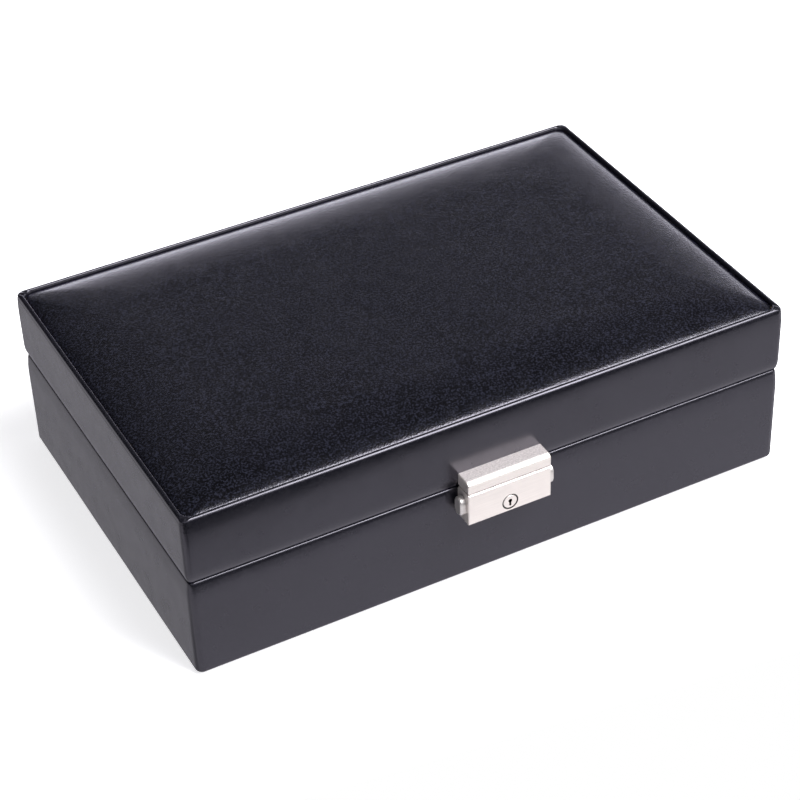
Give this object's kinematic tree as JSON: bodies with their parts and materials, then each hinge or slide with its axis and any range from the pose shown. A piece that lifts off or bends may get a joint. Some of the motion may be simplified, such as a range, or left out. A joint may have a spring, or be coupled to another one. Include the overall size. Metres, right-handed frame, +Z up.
{
  "type": "cufflink case with sliding tray",
  "caption": "Leather-covered cufflink case with a padded hinged lid, a press lock and key plug on its front, and a divided tray that slides over open compartments.",
  "frame": {"origin": "middle of the cloth-covered underside, on the surface that the case stands on", "axes": "+X along the long front to the right, +Y from the lock to the hinges, +Z up"},
  "size_m": [0.26, 0.1784, 0.0783],
  "materials": {
    "smooth_leather": "smooth satin black leather",
    "panel_leather": "fine-grained satin black leather over foam",
    "foam": "foam",
    "card": "grey board",
    "suede": "black suede cloth on card",
    "tray_suede": "black suede cloth on board",
    "board": "raw fibreboard",
    "brushed_nickel": "brushed nickel plate",
    "satin_nickel": "satin nickel plate",
    "plain_steel": "zinc-plated steel"
  },
  "bodies": {
    "base": {"base_leather": "smooth_leather", "base_floor_board": "board", "underside_cloth": "suede", "base_board_front": "board", "base_board_rear": "board", "base_board_left": "board", "base_board_right": "board", "base_liner": "suede", "base_floor_pad": "suede", "runner_front": "suede", "runner_rear": "suede", "base_partition": "suede", "base_left_divider": "suede", "base_divider_cross_1": "suede", "base_divider_cross_2": "suede", "base_divider_long_1": "suede", "base_divider_long_2": "suede", "base_divider_long_3": "suede", "hinge_leaf_base_left": "satin_nickel", "hinge_leaf_base_right": "satin_nickel", "hinge_pin_left": "satin_nickel", "hinge_pin_right": "satin_nickel", "hinge_screws_base": "satin_nickel", "lock_body": "brushed_nickel", "lock_back_plate": "plain_steel", "lock_screws": "plain_steel", "button_spring_left": "plain_steel", "button_spring_right": "plain_steel"},
    "lid": {"lid_leather": "smooth_leather", "lid_board_front": "board", "lid_board_rear": "board", "lid_board_left": "board", "lid_board_right": "board", "lid_top_board": "board", "panel_card": "card", "panel_foam": "foam", "panel_leather": "panel_leather", "lid_liner": "suede", "lid_inner_pad": "suede", "hinge_leaf_lid_left": "satin_nickel", "hinge_leaf_lid_right": "satin_nickel", "hinge_screws_lid": "satin_nickel", "hasp": "brushed_nickel", "hasp_screws": "plain_steel"},
    "tray": {"tray_frame": "tray_suede", "tray_floor": "tray_suede", "tray_divider_cross_1": "tray_suede", "tray_divider_cross_2": "tray_suede", "tray_divider_long_1": "tray_suede", "tray_divider_long_2": "tray_suede", "tray_divider_long_3": "tray_suede"},
    "left_button": {"button_slider_left": "satin_nickel"},
    "right_button": {"button_slider_right": "satin_nickel"},
    "key_plug": {"lock_plug": "brushed_nickel", "lock_cam": "plain_steel", "cam_screw": "plain_steel"}
  },
  "joints": [
    {"name": "lid_hinge", "type": "hinge", "parent": "base", "child": "lid", "pos_m": [0, 0.0846, 0.0452], "axis": [-1, 0, 0], "range_deg": [0, 100]},
    {"name": "tray_slide", "type": "slide", "parent": "base", "child": "tray", "axis": [1, 0, 0], "range_m": [0, 0.1232]},
    {"name": "left_button_press", "type": "slide", "parent": "base", "child": "left_button", "axis": [1, 0, 0], "range_m": [0, 0.0015], "stiffness_N_per_m": 400, "springref_m": -0.002, "deforming": ["button_spring_left"]},
    {"name": "right_button_press", "type": "slide", "parent": "base", "child": "right_button", "axis": [-1, 0, 0], "range_m": [0, 0.0015], "stiffness_N_per_m": 400, "springref_m": -0.002, "deforming": ["button_spring_right"]},
    {"name": "key_plug_turn", "type": "hinge", "parent": "base", "child": "key_plug", "pos_m": [0, -0.092, 0.0366], "axis": [0, -1, 0], "range_deg": [0, 90]}
  ]
}
